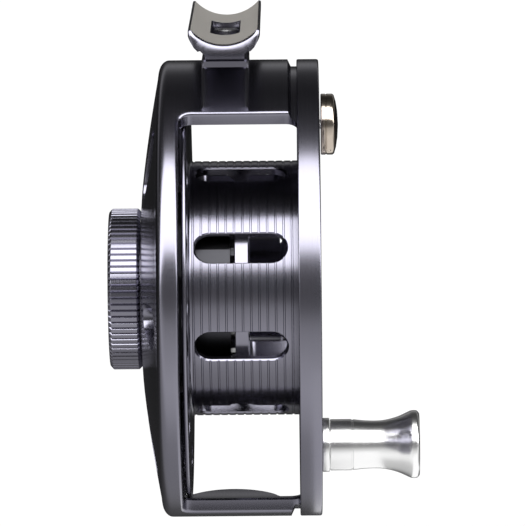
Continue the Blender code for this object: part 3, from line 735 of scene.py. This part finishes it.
def build_counterweight():
    radius = 6.35
    groove = [(20.6, radius), (20.7, radius - 0.13), (20.85, radius - 0.13), (20.95, radius)]
    dome = [(22.1, radius), (22.45, 6.05), (22.85, 4.7), (23.15, 2.7), (23.3, 0)]
    corners = [(22.0, 0), (22.0, 1.4), (19.7, 1.4), (19.7, radius, 0.2), *groove, *dome]
    shape = turned(soft(corners), 128)
    weight = mesh_object("counterweight_fine", shape, crank_place(WEIGHT_ANGLE), sharp=50)
    finish(weight, NICKEL, "spool_assembly", ["counterweight"])


def smooth_line(points, steps=5):
    """A Catmull-Rom line through points of (x, r)."""
    line = []
    for k in range(len(points) - 1):
        a, b, c, d = (points[min(max(i, 0), len(points) - 1)] for i in (k - 1, k, k + 1, k + 2))
        for i in range(steps):
            t = i / steps
            point = []
            for p, q, r, s in zip(a, b, c, d):
                square = 2 * p - 5 * q + 4 * r - s
                cube = 3 * q - p - 3 * r + s
                point.append(0.5 * (2 * q + (r - p) * t + square * t**2 + cube * t**3))
            line.append(tuple(point))
    return [*line, points[-1]]


def build_handle():
    where = crank_place(CRANK_ANGLE)
    collar = soft([(19.7, 2.7), (19.7, 5.8, 0.2), (21.2, 5.8, 0.2), (21.2, 2.7)])
    ring = mesh_object("handle_collar_fine", turned(collar, 96), where)
    finish(ring, POLISHED, "spool_assembly", ["handle_collar"])
    cylinder = [(21.3, 3.65), (21.3, 5.3), (21.5, 5.5), (25.9, 5.5), (26.0, 5.3), (26.2, 5.3)]
    flare = [(26.35, 5.45), (28.6, 5.2), (30.9, 5.12), (32.6, 5.2), (34.0, 5.45), (35.3, 5.8)]
    flare += [(36.3, 6.15), (37.5, 6.7), (38.6, 7.2), (39.3, 7.3), (40.0, 7.2), (40.5, 6.6)]
    inside = soft([(40.5, 6.6), (40.5, 4.3, 0.2), (37.0, 4.3), (37.0, 3.65)])
    section = [*cylinder, *smooth_line(flare), *inside[1:]]
    grip = mesh_object("handle_grip_fine", turned(section, 128), where)
    finish(grip, POLISHED, "grip", ["handle_grip"])
    screw("handle_screw", 37.3, 3.95, 1.4, 1.0, 6.0, where, "spool_assembly", way=-1)


# Knob


def spline(bm):
    """Presses the splines into the outer edge of a turned shape."""
    for v in bm.verts:
        r = math.hypot(v.co.y, v.co.z)
        if r < (KNOB_R - 0.7) * MM:
            continue
        phase = (math.degrees(math.atan2(v.co.y, v.co.z)) * SPLINES / 360) % 1
        shape = 1 - SPLINE_DEPTH * MM / r * (1 - min(1.0, abs(phase - 0.5) / 0.2))
        v.co.y *= shape
        v.co.z *= shape


def build_knob():
    back, front = KNOB_X
    outside = [(-24.1, 1.8), (-24.1, 3.2), (back, 3.2, 0.2), (back, 16.2, 0.3), (-24.3, KNOB_R, 0.3)]
    outside += [(-18.9, KNOB_R, 0.3), (front, 16.4)]
    groove = [(front, 15.6), (-19.2, 15.6), (-19.2, 12.8), (front, 12.8)]
    inside = [(front, 11.5), (-23.1, 11.5), (-23.1, 1.8)]
    bm = turned([*soft(outside), *groove, *inside], 10 * SPLINES)
    spline(bm)
    knob = mesh_object("knob_fine", bm, sharp=28)
    cut(knob, [prism(hexagon(5.427), -23.4, -19.6)], "UNION")
    cut(knob, [rod(-22.9, -19, 3.4), rod(-24.0, -22, 1.8)])
    finish(knob, ANODISED, "knob", ["drag_knob"])
    screw("knob_screw", -24.15, 2.8, 0.75, 1.4, 5.6, AXIS, "frame_assembly")


def build_detent_spring():
    """The detent's spring, copied from its CAD node with a mesh of its own; the real spring shortens as the
    plunger backs into it.
    """
    coil = frame["nodes"]["detent_spring"]
    spring = linked("detent_spring_fine", coil.data.copy())
    bpy.context.view_layer.update()
    spring.matrix_world = coil.matrix_world
    finish(spring, STEEL, "frame_assembly", ["detent_spring"])
    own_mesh(spring)


# Stage


def glow(name, radiance):
    """A material that shines by that much, whatever the light."""
    made = bpy.data.materials.new(name)
    made.use_nodes = True
    tree = made.node_tree
    tree.nodes.clear()
    light = node(tree, "ShaderNodeEmission")
    light.inputs["Strength"].default_value = radiance
    output = node(tree, "ShaderNodeOutputMaterial")
    tree.links.new(light.outputs[0], output.inputs["Surface"])
    return made


def sheet(name, corners, radiance):
    mesh = bpy.data.meshes.new(name)
    mesh.from_pydata(corners, [], [(0, 1, 2, 3)])
    obj = linked(name, mesh)
    mesh.materials.append(glow(name, radiance))
    return obj


# Light from each elevation about the reel's axis, in degrees: 0 is the front horizon, 90 straight up
GLOW = (
    (-180, 0.01), (-168, 0.02), (-140, 0.13), (-123, 0.42), (-112, 0.53), (-86, 0.6), (-72, 0.68),
    (-60, 0.9), (-42, 1.1), (-31, 1.0), (-20, 0.85), (-10, 0.7), (-2, 0.26), (6, 0.16), (20, 0.16),
    (25, 0.3), (28, 5.0), (52, 5.6), (75, 5.0), (79, 0.5), (88, 0.12), (105, 0.05), (125, 0.03),
    (148, 0.08), (160, 0.38), (164, 0.25), (169, 0.03), (180, 0.01),
)
GLOW_MOST = 6.0


def build_light():
    """A studio of soft light that changes only with the angle about the reel's axis."""
    world = bpy.data.worlds.new("studio")
    world.use_nodes = True
    tree = world.node_tree
    direction = node(tree, "ShaderNodeTexCoord").outputs["Generated"]
    apart = node(tree, "ShaderNodeSeparateXYZ")
    tree.links.new(direction, apart.inputs[0])
    front = maths(tree, "MULTIPLY", apart.outputs[1], -1.0)
    angle = maths(tree, "ARCTAN2", apart.outputs[2], front)
    share = maths(tree, "ADD", maths(tree, "DIVIDE", angle, 2 * math.pi), 0.5)
    ramp = node(tree, "ShaderNodeValToRGB")
    tree.links.new(share, ramp.inputs[0])
    stops = ramp.color_ramp.elements
    while len(stops) > 1:
        stops.remove(stops[-1])
    for k, (degrees, radiance) in enumerate(GLOW):
        stop = stops[0] if k == 0 else stops.new(degrees / 360 + 0.5)
        stop.position = degrees / 360 + 0.5
        stop.color = (*[radiance / GLOW_MOST] * 3, 1)
    background = tree.nodes["Background"]
    tree.links.new(ramp.outputs[0], background.inputs["Color"])
    background.inputs["Strength"].default_value = GLOW_MOST
    bpy.context.scene.world = world


def build_stage():
    """A pale floor and walls that only the camera sees, and a card that brightens the handle from below."""
    floor_z, back_y, front_y, top_z, wide = -0.35, 1.2, -1.7, 1.5, 2.5
    around = [(-wide, back_y), (wide, back_y), (wide, front_y), (-wide, front_y)]
    sheets = [sheet("floor", [(x, y, floor_z) for x, y in around], 1.0)]
    for k, name in enumerate(("backdrop", "right_wall", "front_wall", "left_wall")):
        a, b = around[k], around[(k + 1) % 4]
        sheets.append(sheet(name, [(*a, floor_z), (*b, floor_z), (*b, top_z), (*a, top_z)], 1.05))
    for made in sheets:
        made.visible_glossy = False
        made.visible_diffuse = False
        made.visible_shadow = False
    near_x, far_x, near_y, far_y, low = 0.0215, 0.2, -0.25, 0.15, -0.2
    corners = [(near_x, near_y, low), (far_x, near_y, low), (far_x, far_y, low), (near_x, far_y, low)]
    card = sheet("handle_card", corners, 1.15)
    card.visible_camera = False
    bpy.context.scene.view_settings.view_transform = "Standard"


def build_camera():
    """A long lens in front, a little above. The reel stands off its middle by left and low metres."""
    distance, left, low = 1.05, 0.007314, 0.005285
    down, yaw, roll = (math.radians(a) for a in (8.45, 0.28, 0.57))
    forward = Vector((-math.sin(yaw) * math.cos(down), math.cos(yaw) * math.cos(down), -math.sin(down)))
    level = forward.cross(Vector((0, 0, 1))).normalized()
    above = level.cross(forward)
    right = level * math.cos(roll) - above * math.sin(roll)
    up = above * math.cos(roll) + level * math.sin(roll)
    data = bpy.data.cameras.new("camera")
    data.sensor_width = 36.0
    data.lens = 339.947
    data.clip_end = 20.0
    camera = linked("camera", data)
    place_at = AXIS - forward * distance + right * left + up * low
    facing = Matrix((right, up, -forward)).transposed().to_4x4()
    camera.matrix_world = Matrix.Translation(place_at) @ facing
    bpy.context.scene.camera = camera


# The CAD nodes that stay as they are take their slot's finish

SLOT_FINISH = {
    "anodised": ANODISED,
    "foot_metal": ANODISED,
    "polished_aluminium": POLISHED,
    "polished_nickel": NICKEL,
    "steel": STEEL,
    "black_anodised": BLACK_METAL,
    "dark_steel": BLACK_METAL,
    "brass": BRASS,
    "bronze": BRONZE,
    "carbon": CARBON,
    "rubber": RUBBER,
}
for part in frame["record"]["subparts"]:
    mesh = frame["nodes"][part["node"]].data
    mesh.materials.clear()
    mesh.materials.append(SLOT_FINISH[part["material_slot"]])

build_frame()
build_foot()
build_spool()
build_hub_cap()
build_counterweight()
build_handle()
build_knob()
build_detent_spring()
build_light()
build_stage()
build_camera()
